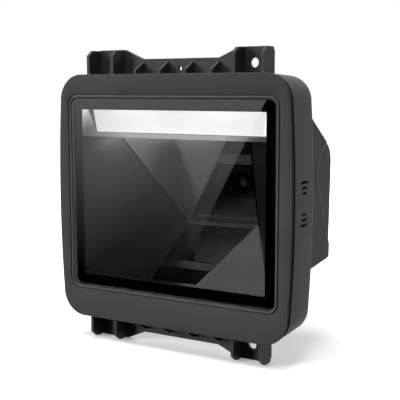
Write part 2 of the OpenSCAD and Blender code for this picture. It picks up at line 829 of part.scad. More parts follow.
module floor_insert() {
    front = floor_length(light_y) - insert_gap;
    open_front = floor_length(opening_y);
    open_back = hood_back + hood_wall;
    a = insert_half(open_front) - opening_rim;
    b = insert_half(open_back) - opening_rim;
    base = -chamber_wall - insert_flange_t;
    rim = base + insert_flange_t / 3;
    out = hood_wall;
    inner = hood_half - hood_wall;
    color("#232324")
        placed()
            difference() {
                union() {
                    on_floor()
                        insert_plan(0, rim, 0, front, insert_back);
                    on_floor()
                        insert_plan(insert_flange, base, -chamber_wall, front, insert_back + insert_gap);
                    loft([
                        camera_ring(hood_half, 0),
                        floor_ring(a + out, open_front + out, b + out, hood_back, rim)
                    ]);
                }
                loft([
                    camera_ring(inner, hood_floor),
                    floor_ring(a, open_front, b, open_back, base),
                    floor_ring(a, open_front, b, open_back, cut)
                ]);
                on_camera()
                    translate([0, 0, -cut])
                        cylinder(d = barrel_d + 2 * barrel_gap, h = 4 * cut);
            }
}

module label_plate() {
    far = floor_length(opening_y) + label_off;
    color("#0d0d0e")
        placed()
            on_floor()
                insert_plan(-2 * insert_gap, 0, label_t, far + label_l, far);
}

module fold_mirror() {
    low = -mirror_lap;
    high = mirror_rise(light_floor) - insert_gap;
    a = mirror_foot_w / 2 + mirror_lap + mirror_gain * low;
    b = mirror_foot_w / 2 + mirror_lap + mirror_gain * high;
    color("#9fa6a8")
        placed()
            on_mirror()
                translate([0, 0, -mirror_t])
                    linear_extrude(mirror_t)
                        polygon([[-a, low], [a, low], [b, high], [-b, high]]);
}

module mirror_clips() {
    at = 0.62 * mirror_rise(shelf_z);
    edge = mirror_foot_w / 2 + mirror_lap + mirror_gain * at;
    wide = clip_l + 2 * cut;
    clip_w = clip_lap + clip_gap + clip_t + clip_foot;
    color("#b9bcbd")
        placed()
            on_mirror()
                for (s = [0, 1])
                    mirror([s, 0, 0])
                        translate([edge, at, 0])
                            rotate([0, 0, -atan(mirror_gain)])
                                difference() {
                                    translate([-clip_lap, -clip_l / 2, -mirror_t - clip_t])
                                        cube([clip_w, clip_l, mirror_t + clip_t]);
                                    translate([-clip_lap - cut, -wide / 2, -mirror_t])
                                        cube([clip_lap + cut + clip_gap, wide, mirror_t + cut]);
                                    translate([clip_gap + clip_t, -wide / 2, -mirror_t - clip_t - cut])
                                        cube([clip_foot + cut, wide, mirror_t + cut]);
                                }
}

// Light

module light_box() {
    len_in = light_l + 2 * light_margin;
    high = light_top - light_floor;
    color("#e8e8e4")
        placed()
            difference() {
                translate([-len_in / 2 - light_wall, light_y, light_floor])
                    cube([len_in + 2 * light_wall, light_box_d, high]);
                translate([-len_in / 2, light_y - cut, light_floor + light_wall])
                    cube([len_in, light_box_d - light_wall + cut, high - 2 * light_wall]);
            }
}

module light_diffuser() {
    y0 = light_y + diffuser_in;
    notch = light_margin / 4;
    wide = light_l + 2 * (light_margin - insert_gap);
    color("#fafaf7")
        placed()
            difference() {
                translate([-wide / 2, y0, light_floor + light_wall + insert_gap])
                    cube([wide, diffuser_t, light_h]);
                for (s = [-1, 1])
                    translate([s * (light_l / 2 + light_margin), y0 - cut, light_floor])
                        rotate([0, s * notch_lean, 0])
                            translate([notch - light_margin, 0, 0])
                                cube([2 * (light_margin - notch), cut + diffuser_t / 2, 3 * light_h]);
            }
}

module light_board() {
    y1 = light_y + light_box_d - light_wall;
    color("#1f5a36")
        placed()
            translate([-light_l / 2, y1 - board_t, light_floor + light_wall + insert_gap])
                cube([light_l, board_t, light_h]);
}

module light_emitters() {
    y1 = light_y + light_box_d - light_wall - board_t;
    z1 = light_floor + light_wall + insert_gap + light_h / 2;
    pitch = light_l / emitter_count;
    color("#f3e9b0")
        placed()
            for (k = [0:emitter_count - 1])
                translate([(k - (emitter_count - 1) / 2) * pitch, y1, z1])
                    translate([-emitter_w / 2, -emitter_t, -emitter_w / 2])
                        cube([emitter_w, emitter_t, emitter_w]);
}

// Camera

module lens_holder() {
    wide = barrel_d + 2 * holder_wall;
    foot = camera_board_l - 2;
    color("#151516")
        placed()
            on_camera()
                difference() {
                    union() {
                        translate([-wide / 2, -wide / 2, -holder_h])
                            cube([wide, wide, holder_h]);
                        translate([-foot / 2, -foot / 2, -holder_h - holder_foot])
                            cube([foot, foot, holder_foot]);
                    }
                    translate([0, 0, -holder_h])
                        cylinder(d = barrel_d + 2 * barrel_gap, h = holder_h + cut);
                    translate([-holder_well / 2, -holder_well / 2, -holder_h - holder_foot - cut])
                        cube([holder_well, holder_well, holder_foot + 2 * cut]);
                }
}

module lens_barrel() {
    color("#0f0f10")
        placed()
            on_camera()
                difference() {
                    translate([0, 0, -holder_h + cut])
                        cylinder(d = barrel_d, h = holder_h + 3);
                    translate([0, 0, 2])
                        cylinder(d1 = barrel_d - 5, d2 = barrel_d - 1.6, h = 2.01);
                    translate([0, 0, -holder_h])
                        cylinder(d = barrel_d - 4, h = holder_h + 1);
                    translate([0, 0, 0.6])
                        cylinder(d = barrel_d - 5.4, h = 1.6);
                }
}

module lens_glass() {
    color("#28323f")
        placed()
            on_camera()
                translate([0, 0, 1])
                    intersection() {
                        cylinder(d = barrel_d - 5.6, h = 3);
                        translate([0, 0, -8])
                            sphere(r = 9.6, $fn = 64);
                    }
}

module image_sensor() {
    color("#2b2f38")
        placed()
            on_camera()
                translate([-sensor_w / 2, -sensor_l / 2, -holder_h - holder_foot])
                    cube([sensor_w, sensor_l, sensor_t]);
}

module camera_board() {
    color("#1f5a36")
        placed()
            on_camera()
                translate([-camera_board_w / 2, -camera_board_l / 2, -holder_h - holder_foot - board_t])
                    cube([camera_board_w, camera_board_l, board_t]);
}

// Electronics

module main_board() {
    color("#1f5a36")
        placed()
            translate([main_board_x - main_board_w / 2, main_board_y, main_board_foot])
                cube([main_board_w, board_t, main_board_h]);
}

module board_chips() {
    color("#17181a")
        placed()
            for (k = [-1:1])
                let (w = chip_w * (1 - 0.2 * (k + 1)))
                    translate([main_board_x + k * 1.4 * chip_w - w / 2, main_board_y - chip_t,
                               main_board_foot + main_board_h / 2 - w / 2])
                        cube([w, chip_t, w]);
}

module interface_board() {
    color("#1f5a36")
        placed()
            translate([-jack_x, interface_y, jack_z - jack_h / 2])
                translate([-interface_w / 2, -board_t, -interface_down])
                    cube([interface_w, board_t, jack_h + interface_down + interface_up]);
}

module interface_jack() {
    color("#242426")
        placed()
            translate([-jack_x - jack_w / 2, interface_y, jack_z - jack_h / 2])
                difference() {
                    cube([jack_w, jack_d, jack_h]);
                    translate([jack_wall, jack_wall, jack_wall])
                        cube([jack_w - 2 * jack_wall, jack_d, jack_h - 2 * jack_wall - latch_h]);
                    translate([(jack_w - latch_w) / 2, jack_wall, jack_wall])
                        cube([latch_w, jack_d, jack_h - 2 * jack_wall]);
                }
}

module sounder() {
    x1 = sounder_seat_x - seal_t;
    color("#1a1a1b")
        placed()
            translate([x1 - sounder_t, slot_y - sounder_w / 2, slot_z - sounder_h / 2])
                cube([sounder_t, sounder_w, sounder_h]);
}

module sounder_seal() {
    color("#303032")
        placed()
            translate([sounder_seat_x - seal_t, slot_y, slot_z])
                difference() {
                    translate([0, -sounder_w / 2, -sounder_h / 2])
                        cube([seal_t, sounder_w, sounder_h]);
                    translate([-cut, -sounder_w / 2 + seal_rim, -sounder_h / 2 + seal_rim])
                        cube([seal_t + 2 * cut, sounder_w - 2 * seal_rim, sounder_h - 2 * seal_rim]);
                }
}

front_bezel();
window_glass();
window_mask();
body_gasket();
rear_housing();
optical_chamber();
floor_insert();
label_plate();
fold_mirror();
mirror_clips();
light_box();
light_diffuser();
light_board();
light_emitters();
lens_holder();
lens_barrel();
lens_glass();
image_sensor();
camera_board();
main_board();
board_chips();
interface_board();
interface_jack();
sounder();
sounder_seal();
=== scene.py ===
"""Looks of the fixed barcode reader: bezel, window, lit strip, mirror chamber, eared housing and fixings."""

import math

import bmesh
import bpy
import numpy as np
from mathutils import Matrix, Vector


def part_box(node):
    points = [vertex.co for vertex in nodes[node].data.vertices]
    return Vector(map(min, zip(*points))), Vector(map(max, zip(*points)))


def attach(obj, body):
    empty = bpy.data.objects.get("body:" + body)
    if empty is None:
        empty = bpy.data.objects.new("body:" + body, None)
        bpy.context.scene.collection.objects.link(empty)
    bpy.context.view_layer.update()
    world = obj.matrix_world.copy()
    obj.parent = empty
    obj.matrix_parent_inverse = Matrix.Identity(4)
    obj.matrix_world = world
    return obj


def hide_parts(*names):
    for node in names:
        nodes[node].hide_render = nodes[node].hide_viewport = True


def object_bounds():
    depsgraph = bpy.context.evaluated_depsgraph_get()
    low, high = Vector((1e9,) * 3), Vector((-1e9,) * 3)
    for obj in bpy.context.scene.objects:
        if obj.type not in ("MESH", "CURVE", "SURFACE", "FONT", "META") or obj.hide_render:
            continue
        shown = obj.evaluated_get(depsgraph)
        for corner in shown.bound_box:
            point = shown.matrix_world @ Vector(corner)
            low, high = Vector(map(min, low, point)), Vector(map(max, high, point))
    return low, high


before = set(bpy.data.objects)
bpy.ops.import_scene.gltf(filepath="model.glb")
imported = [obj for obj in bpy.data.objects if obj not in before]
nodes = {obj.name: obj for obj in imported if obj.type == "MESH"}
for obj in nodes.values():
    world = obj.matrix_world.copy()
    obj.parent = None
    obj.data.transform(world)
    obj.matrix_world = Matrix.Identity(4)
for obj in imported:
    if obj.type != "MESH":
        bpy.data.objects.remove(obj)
cad_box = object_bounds()

# Sizes of the reader, in metres; depths run back from the bezel face

MM = 0.001
BODY_W, BODY_H, BODY_BACK = 128.6 * MM, 121.0 * MM, 27.0 * MM
SIDE_BOW, CORNER_R = 1.6 * MM, 12.5 * MM
BEZEL_RIM, BEZEL_EDGE, SOFT_EDGE = 1.0 * MM, 0.4 * MM, 0.12 * MM
SPIGOT_IN, BEZEL_BACK = 2.7 * MM, 4.4 * MM
BEAD_W, BEAD_LOW = 1.2 * MM, 0.4 * MM
BEAD_GROOVE_W, BEAD_GROOVE_DEEP = 0.5 * MM, 0.6 * MM
GLASS_GAP, GLASS_R, GLASS_BEVEL = 0.3 * MM, 3.4 * MM, 0.15 * MM
GLASS_FACE_IN, GLASS_FILM = 0.05 * MM, 0.02 * MM
VIEW_R, VIEW_PAST = 0.6 * MM, 0.9 * MM
MASK_SIDE, MASK_END = 5.3 * MM, 5.5 * MM
BOSS_R, BOSS_HOLE_R, BOSS_SPLIT = 3.2 * MM, 1.3 * MM, 12.0 * MM
BOSS_X, BOSS_Z = BODY_W / 2 - 10.3 * MM, 51.2 * MM
SCREW_HEAD_R, SCREW_HEAD_H, SCREW_DEEP = 2.1 * MM, 1.6 * MM, 5.0 * MM

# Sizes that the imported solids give

FACE_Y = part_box("front_bezel")[0].y
GLASS_LOW, GLASS_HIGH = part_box("window_glass")
GLASS_W, GLASS_H = GLASS_HIGH.x - GLASS_LOW.x, GLASS_HIGH.z - GLASS_LOW.z
GLASS_BACK = GLASS_HIGH.y - FACE_Y
WINDOW_Z = (GLASS_HIGH.z + GLASS_LOW.z) / 2
MASK_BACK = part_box("window_mask")[1].y - FACE_Y
STRIP_LOW, STRIP_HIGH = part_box("light_diffuser")
JACK_LOW, JACK_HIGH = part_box("interface_jack")

# Planes of the chamber floor and the camera pocket's floor: height at y nought, rise, reach of the finish

FLOOR_Z, FLOOR_SLOPE, FLOOR_SKIN = -34.67 * MM, 0.4567, 0.4 * MM
POCKET_Z, POCKET_SLOPE, POCKET_SKIN = -31.92 * MM, -0.213, 0.5 * MM

# Depth under the chamber floor at which the pocket's finish begins

POCKET_DEEP = 4 * MM

# Lower corner of the pocket's rim, as (side, depth, height), and how far it moves forward

POCKET_RIM, POCKET_RIM_MOVE = np.array([19.15, 52.55, -20.18]) * MM, 2.78 * MM

# Lip of the hump's side relief: corner points as (depth, height)

HUMP_SIDE, RELIEF_R = 57.5 * MM, 12.8 * MM
RELIEF_NOSE, RELIEF_TOP, RELIEF_LOW = np.array([(40.8, 16.4), (53.8, 27.11), (59.1, -21.45)]) * MM
RELIEF_LIP_W, RELIEF_LIP_H, RELIEF_LIP_SUNK = 1.5 * MM, 0.16 * MM, 0.04 * MM
RELIEF_LIP_OFF = 0.1

# Meshing: points on each side and corner of an outline, welding distances, and the angle that counts as flat

OUTLINE_STEPS, GRID_WELD, SOLID_WELD, FLAT_DEGREES = 16, 1e-7, 2e-6, 0.5

# Camera, fitted to the photograph's perspective

CAMERA_AT = Vector((0.21510, -0.34725, 0.05289))
CAMERA_LOOK = Vector((-0.5047, 0.8538, -0.1278))
CAMERA_UP = Vector((-0.0650, 0.1100, 0.9918))
CAMERA_LENS, CAMERA_SENSOR, CAMERA_NEAR = 76.73, 36.0, 0.01


# Outlines and surfaces

def mirrored(quarter):
    """Closed outline from its first quarter: the quarter, then its mirror images in turn, anticlockwise."""
    flip_x, flip_z = np.array([-1, 1]), np.array([1, -1])
    return np.concatenate([quarter, quarter[::-1] * flip_x, quarter[1:] * flip_x * flip_z,
                           quarter[:0:-1] * flip_z])


def bowed_outline(inset):
    """Rounded rectangle with bowed sides: a long side arc of radius big runs smoothly into a corner arc."""
    half_w, corner, straight = BODY_W / 2 - inset, CORNER_R - inset, BODY_H / 2 - CORNER_R
    big = (straight ** 2 + SIDE_BOW ** 2) / (2 * SIDE_BOW)
    corner_x = half_w - big + math.sqrt((big - corner) ** 2 - straight ** 2)
    start = math.asin(straight / (big - corner))
    side = np.linspace(0, start, OUTLINE_STEPS, endpoint=False)
    turn = np.linspace(start, math.pi / 2, OUTLINE_STEPS)
    side_arc = np.stack([half_w - big + big * np.cos(side), big * np.sin(side)], -1)
    corner_arc = np.stack([corner_x + corner * np.cos(turn), straight + corner * np.sin(turn)], -1)
    return mirrored(np.concatenate([side_arc, corner_arc]))


def rounded_outline(half_w, half_h, corner):
    """Rounded rectangle with as many points as the bowed outline: a straight side, then a corner arc."""
    side_z = np.linspace(0, half_h - corner, OUTLINE_STEPS, endpoint=False)
    turn = np.linspace(0, math.pi / 2, OUTLINE_STEPS)
    side = np.stack([np.full_like(side_z, half_w), side_z], -1)
    corner_at = np.array([half_w, half_h]) - corner
    corner_arc = corner_at + corner * np.stack([np.cos(turn), np.sin(turn)], -1)
    return mirrored(np.concatenate([side, corner_arc]))


def ring(outline, depth, rise=0.0):
    """Outline in X and Z set at a depth behind the bezel face and lifted by a rise."""
    return np.stack([outline[:, 0], np.full(len(outline), FACE_Y + depth), outline[:, 1] + rise], -1)


def glass_ring(grow, depth):
    """Outline of the glass, grown all round, at a depth."""
    outline = rounded_outline(GLASS_W / 2 + grow, GLASS_H / 2 + grow, GLASS_R + grow)
    return ring(outline, depth, WINDOW_Z)


def view_ring(grow, depth):
    """Outline of the clear view inside the mask, grown all round, at a depth."""
    half_w, half_h = GLASS_W / 2 - MASK_SIDE + grow, GLASS_H / 2 - MASK_END + grow
    return ring(rounded_outline(half_w, half_h, VIEW_R + grow), depth, WINDOW_Z)


def body_ring(inset, depth):
    """Bowed outline of the body, set in all round, at a depth."""
    return ring(bowed_outline(inset), depth)


def lathe(profile, centre, axis, steps):
    """Surface of revolution: a profile of (radius, height) pairs turned about an axis through a centre."""
    axis = Vector(axis).normalized()
    side = axis.orthogonal().normalized()
    other = axis.cross(side)
    angle = np.linspace(0, 2 * math.pi, steps, endpoint=False)
    round_dir = np.cos(angle)[:, None] * np.array(side) + np.sin(angle)[:, None] * np.array(other)
    profile = np.asarray(profile)
    return (np.array(centre) + profile[:, None, 0, None] * round_dir[None]
            + profile[:, None, 1, None] * np.array(axis)[None, None])


def grid_faces(rows, cols, start, close_v=False, close_u=True, caps=False):
    """Quads between neighbours of a grid of points, round in u or v where closed, with end caps if asked."""
    v, u = np.meshgrid(np.arange(rows - (not close_v)), np.arange(cols - (not close_u)), indexing="ij")
    v2, u2 = (v + 1) % rows, (u + 1) % cols
    corners = np.stack([v * cols + u, v2 * cols + u, v2 * cols + u2, v * cols + u2], -1)
    faces = (corners.reshape(-1, 4) + start).tolist()
    if caps:
        faces.append(list(range(start, start + cols)))
        faces.append(list(range(start + rows * cols - 1, start + (rows - 1) * cols - 1, -1)))
    return faces


def surface_mesh(name, grids, **closing):
    """One mesh of several grids, each closed in the same way, with its faces turned outwards."""
    faces, start = [], 0
    for grid in grids:
        faces += grid_faces(*grid.shape[:2], start, **closing)
        start += grid.shape[0] * grid.shape[1]
    mesh = bpy.data.meshes.new(name)
    mesh.from_pydata(np.concatenate([grid.reshape(-1, 3) for grid in grids]).tolist(), [], faces)
    shape = bmesh.new()
    shape.from_mesh(mesh)
    bmesh.ops.remove_doubles(shape, verts=shape.verts, dist=GRID_WELD)
    bmesh.ops.recalc_face_normals(shape, faces=shape.faces)
    shape.to_mesh(mesh)
    shape.free()
    return mesh


def add_piece(name, mesh, material, sharp):
    """Object of a mesh at the origin, smooth up to a sharp angle, riding on the reader's one body."""
    piece = bpy.data.objects.new(name, mesh)
    bpy.context.collection.objects.link(piece)
    mesh.materials.clear()
    mesh.materials.append(material)
    mesh.polygons.foreach_set("use_smooth", np.ones(len(mesh.polygons), bool))
    mesh.set_sharp_from_angle(angle=math.radians(sharp))
    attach(piece, "root")
    return piece


def dressed(node, material, bevel, sharp=25):
    """Copy of a solid: its triangles merged, its flat faces joined and its hard edges rounded by a bevel."""
    shape = bmesh.new()
    shape.from_mesh(nodes[node].data)
    bmesh.ops.remove_doubles(shape, verts=shape.verts, dist=SOLID_WELD)
    bmesh.ops.dissolve_limit(shape, angle_limit=math.radians(FLAT_DEGREES), verts=shape.verts,
                             edges=shape.edges)
    mesh = bpy.data.meshes.new(node + "_shape")
    shape.to_mesh(mesh)
    shape.free()
    normals = mesh.attributes.get("custom_normal")
    if normals is not None:
        mesh.attributes.remove(normals)
    piece = add_piece(node + "_piece", mesh, material, sharp)
    rounding = piece.modifiers.new("edges", "BEVEL")
    rounding.limit_method = "ANGLE"
    rounding.angle_limit = math.radians(sharp)
    rounding.width = bevel
    rounding.segments = 2
    rounding.harden_normals = True
    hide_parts(node)
    return piece


# Materials

def bare_material(name):
    """Material whose node tree holds only its output."""
    material = bpy.data.materials.new(name)
    material.use_nodes = True
    tree = material.node_tree
    tree.nodes.clear()
    return material, tree, tree.nodes.new("ShaderNodeOutputMaterial")


def new_material(name):
    """Material with one surface shader, whose sockets are still to be set."""
    material, tree, output = bare_material(name)
    surface = tree.nodes.new("ShaderNodeBsdfPrincipled")
    tree.links.new(surface.outputs["BSDF"], output.inputs["Surface"])
    return material, tree, surface


def own_place(tree):
    """The piece's own x, y and z."""
    place = tree.nodes.new("ShaderNodeTexCoord")
    split = tree.nodes.new("ShaderNodeSeparateXYZ")
    tree.links.new(place.outputs["Object"], split.inputs["Vector"])
    return split.outputs["X"], split.outputs["Y"], split.outputs["Z"]


def noise(tree, scale, detail=3.0):
    """Noise over the piece's own coordinates; a scale of 1000 gives features about a millimetre across."""
    place = tree.nodes.new("ShaderNodeTexCoord")
    texture = tree.nodes.new("ShaderNodeTexNoise")
    texture.inputs["Scale"].default_value = scale
    texture.inputs["Detail"].default_value = detail
    tree.links.new(place.outputs["Object"], texture.inputs["Vector"])
    return texture.outputs["Fac"]


def ramp(tree, value, low, high, start, end):
    """Value carried from a range to another and held at its ends."""
    scale = tree.nodes.new("ShaderNodeMapRange")
    for socket, number in zip(("From Min", "From Max", "To Min", "To Max"), (low, high, start, end)):
        scale.inputs[socket].default_value = number
    tree.links.new(value, scale.inputs["Value"])
    return scale.outputs["Result"]


def spread(tree, value, low, high):
    """Noise carried from the range that it mostly keeps to onto another one."""
    usual_low, usual_high = 0.3, 0.7
    return ramp(tree, value, usual_low, usual_high, low, high)


def tint(tree, value, dark, light):
    """Colour between two tones, steered by a value from 0 to 1."""
    blend = tree.nodes.new("ShaderNodeMix")
    blend.data_type = "RGBA"
    blend.inputs["A"].default_value = (*dark, 1)
    blend.inputs["B"].default_value = (*light, 1)
    tree.links.new(value, blend.inputs["Factor"])
    return blend.outputs["Result"]


def maths(tree, operation, a, b=None):
    """Value of a maths node whose inputs are numbers or other nodes' outputs."""
    step = tree.nodes.new("ShaderNodeMath")
    step.operation = operation
    for socket, value in zip(step.inputs, (a, b)):
        if isinstance(value, (int, float)):
            socket.default_value = value
        elif value is not None:
            tree.links.new(value, socket)
    return step.outputs["Value"]


def shaded(tone, factor):
    """Tone with each channel times a factor."""
    return tuple(channel * factor for channel in tone)


def over_plane(tree, base, slope):
    """Height over a plane that lies at the base height where y is nought and rises towards the back."""
    _, y, z = own_place(tree)
    plane = maths(tree, "ADD", maths(tree, "MULTIPLY", y, slope), base)
    return maths(tree, "SUBTRACT", z, plane)


def moulded(name, tone, rough, grain, lift, specular=0.5, drift=0.08, metallic=0.0, low_rough=0.0, planes=()):
    """Moulded surface: its tone drifts slowly over the piece, and a fine grain lifts it and varies its gloss.
    Where planes are given, it has a roughness of its own below all of them."""
    drift_scale, gloss_low, gloss_high, settle = 45, 0.92, 1.08, 0.3 * MM
    material, tree, surface = new_material(name)
    slow = spread(tree, noise(tree, drift_scale, 2), 0, 1)
    colour = tint(tree, slow, shaded(tone, 1 - drift), shaded(tone, 1 + drift))
    tree.links.new(colour, surface.inputs["Base Color"])
    fine = noise(tree, grain, 2)
    gloss = rough
    if planes:
        heights = [over_plane(tree, *plane) for plane in planes]
        gloss = ramp(tree, maths(tree, "MAXIMUM", heights[0], heights[-1]), 0, settle, low_rough, rough)
    varied = maths(tree, "MULTIPLY", spread(tree, fine, gloss_low, gloss_high), gloss)
    tree.links.new(varied, surface.inputs["Roughness"])
    bump = tree.nodes.new("ShaderNodeBump")
    bump.inputs["Strength"].default_value = 1
    bump.inputs["Distance"].default_value = lift
    tree.links.new(fine, bump.inputs["Height"])
    tree.links.new(bump.outputs["Normal"], surface.inputs["Normal"])
    surface.inputs["Specular IOR Level"].default_value = specular
    surface.inputs["Metallic"].default_value = metallic
    return material


def clear_glass(name, tone, ior):
    """Polished glass with a faint uneven film that varies its tone."""
    film_scale, film_shade = 60, 0.985
    material, tree, surface = new_material(name)
    film = spread(tree, noise(tree, film_scale, 4), 0, 1)
    tree.links.new(tint(tree, film, shaded(tone, film_shade), tone), surface.inputs["Base Color"])
    surface.inputs["Roughness"].default_value = 0
    surface.inputs["Transmission Weight"].default_value = 1
    surface.inputs["IOR"].default_value = ior
    return material


def lit_diffuser(name, strength, glow):
    """White diffuser lit from behind. The light is a plain level with two soft hot spots near the top, and
    falls off towards one end, where a slanted grey band parts the lit face from a dim end cheek."""
    fade_from, fade_to, end_level = 15 * MM, 47 * MM, 0.8
    face_end, face_top, face_slant, face_edge = 46.6 * MM, 43 * MM, 0.207, 0.4 * MM
    frost_scale, frost_level, cheek_level = 900, 0.02, 0.03
    cheek_tone, face_tone = (0.30, 0.30, 0.30), (0.84, 0.84, 0.83)
    material, tree, surface = new_material(name)
    x, _, up = own_place(tree)
    side = maths(tree, "MULTIPLY", x, -1)
    span = STRIP_HIGH.x - STRIP_LOW.x
    wave = maths(tree, "COSINE", maths(tree, "MULTIPLY", x, 4 * math.pi / span))
    height = ramp(tree, up, STRIP_LOW.z, STRIP_HIGH.z, 0, 1)
    spot = maths(tree, "MULTIPLY", ramp(tree, wave, 1, -1, 0, 1), maths(tree, "POWER", height, 2))
    frost = spread(tree, noise(tree, frost_scale), -frost_level, frost_level)
    level = maths(tree, "ADD", maths(tree, "MULTIPLY", spot, glow), maths(tree, "ADD", frost, strength))
    level = maths(tree, "MULTIPLY", level, ramp(tree, side, fade_from, fade_to, 1, end_level))
    lean = maths(tree, "MULTIPLY", maths(tree, "SUBTRACT", face_top, up), face_slant)
    past_face = maths(tree, "ADD", maths(tree, "SUBTRACT", side, face_end), lean)
    on_face = ramp(tree, past_face, 0, face_edge, 1, 0)
    shown = ramp(tree, on_face, 0, 1, cheek_level, 1)
    tree.links.new(maths(tree, "MULTIPLY", level, shown), surface.inputs["Emission Strength"])
    tree.links.new(tint(tree, on_face, cheek_tone, face_tone), surface.inputs["Base Color"])
    surface.inputs["Emission Color"].default_value = (1, 1, 1, 1)
    surface.inputs["Roughness"].default_value = 0.5
    return material


def painted_glow_trim(name):
    """White trim round the strip with a painted glow, emission that stands in for the strip's light leaking
    into
    it: the glow rises along the lip to a middle stretch and falls again to the far end, and on the end cheek
    it rises with height. Each range gives the two ends of a value, then the two levels that they are carried
    to."""
    lip_rise, lip_fall = (-49 * MM, -22 * MM, 0.06, 0.37), (28 * MM, 46 * MM, 0.34, 0.03)
    cheek_height, cheek_glow = (31 * MM, 43 * MM, 0, 1), (0, 1, 0.05, 0.54)
    cheek_end = (-44 * MM, -40 * MM, 1, 0)
    grain_scale, grain_low, grain_high = 700, 0.94, 1.06
    tone_scale, dark_tone, light_tone = 120, (0.50, 0.50, 0.49), (0.56, 0.56, 0.55)
    material, tree, surface = new_material(name)
    along, _, up = own_place(tree)
    lip = maths(tree, "MINIMUM", ramp(tree, along, *lip_rise), ramp(tree, along, *lip_fall))
    climb = maths(tree, "POWER", ramp(tree, up, *cheek_height), 2)
    cheek = maths(tree, "MULTIPLY", ramp(tree, climb, *cheek_glow), ramp(tree, along, *cheek_end))
    grain = spread(tree, noise(tree, grain_scale), grain_low, grain_high)
    glow = maths(tree, "MULTIPLY", maths(tree, "MAXIMUM", lip, cheek), grain)
    tree.links.new(glow, surface.inputs["Emission Strength"])
    tree.links.new(tint(tree, noise(tree, tone_scale), dark_tone, light_tone), surface.inputs["Base Color"])
    surface.inputs["Emission Color"].default_value = (1, 1, 1, 1)
    surface.inputs["Roughness"].default_value = 0.4
    return material


# Finishes: name, tone, roughness, grain scale, grain lift, then specular level, drift of the tone and metal

housing = moulded("housing_plastic", (0.048, 0.048, 0.0485), 0.5, 2200, 0.012 * MM, 0.07)
# Bead plastic: a lighter tone than the housing's as a painted highlight, with a glossier finish.
bead_satin_painted_highlight = moulded("bead_satin_painted_highlight", (0.075, 0.075, 0.0755), 0.35, 2200, 0.002 * MM, 0.06)
rubber = moulded("seal_rubber", (0.004, 0.004, 0.004), 0.8, 1500, 0.01 * MM, 0.03)
mask_black = moulded("mask_black", (0.0015, 0.0015, 0.0015), 0.6, 800, 0.001 * MM, 0.02)
chamber_black = moulded("chamber_plastic", (0.024, 0.024, 0.0244), 0.42, 2600, 0.0005 * MM, 0.9,
                        low_rough=0.18, planes=[(FLOOR_Z + FLOOR_SKIN, FLOOR_SLOPE)])
# Crease strip: a lighter tone than the chamber's as a painted highlight, with a glossier finish.
crease_painted_highlight = moulded("crease_highlight_plastic", (0.09, 0.09, 0.0905), 0.3, 2600, 0.0005 * MM, 0.5)
insert_black = moulded("insert_plastic", (0.014, 0.014, 0.0142), 0.28, 2600, 0.0005 * MM, 0.4,
                       low_rough=0.95, planes=[(FLOOR_Z - POCKET_DEEP, FLOOR_SLOPE),
                                               (POCKET_Z + POCKET_SKIN, POCKET_SLOPE)])
label_black = moulded("label_black", (0.0012, 0.0012, 0.0012), 0.5, 1800, 0.001 * MM, 0.05)
mirror_silver = moulded("mirror_silver", (0.86, 0.87, 0.87), 0.015, 300, 0.0, 0.5, 0.015, 0.975)
steel = moulded("spring_steel", (0.55, 0.56, 0.57), 0.3, 1800, 0.002 * MM, 0.5, 0.06, 1.0)
screw_steel = moulded("screw_steel", (0.10, 0.10, 0.105), 0.38, 1600, 0.002 * MM, 0.5, 0.08, 1.0)
gold = moulded("contact_gold", (0.83, 0.61, 0.28), 0.22, 1500, 0.001 * MM, 0.5, 0.05, 1.0)
reflector = moulded("reflector_white", (0.80, 0.80, 0.79), 0.5, 1200, 0.004 * MM, 0.4, 0.03)
board_green = moulded("circuit_board", (0.02, 0.10, 0.045), 0.4, 700, 0.02 * MM, 0.5, 0.25)
emitter = moulded("emitter_yellow", (0.80, 0.66, 0.25), 0.3, 900, 0.004 * MM, 0.5, 0.06)
moulded_black = moulded("moulded_black", (0.013, 0.013, 0.0135), 0.45, 1800, 0.008 * MM, 0.45)
lens_black = moulded("lens_black", (0.002, 0.002, 0.002), 0.6, 1800, 0.004 * MM, 0.03)
chip_black = moulded("chip_black", (0.016, 0.016, 0.018), 0.5, 1400, 0.006 * MM, 0.4)
window_clear = clear_glass("window_clear", (1.0, 1.0, 1.0), ior=1.5)
lens_coated = moulded("lens_coating", (0.004, 0.005, 0.009), 0.03, 900, 0.0, 0.2)
diffuser_lit = lit_diffuser("diffuser_lit", strength=0.82, glow=0.2)
# The trim's emission is a painted glow, standing in for the strip's light that leaks into it.
trim_painted_glow = painted_glow_trim("strip_trim")


# Bezel and window

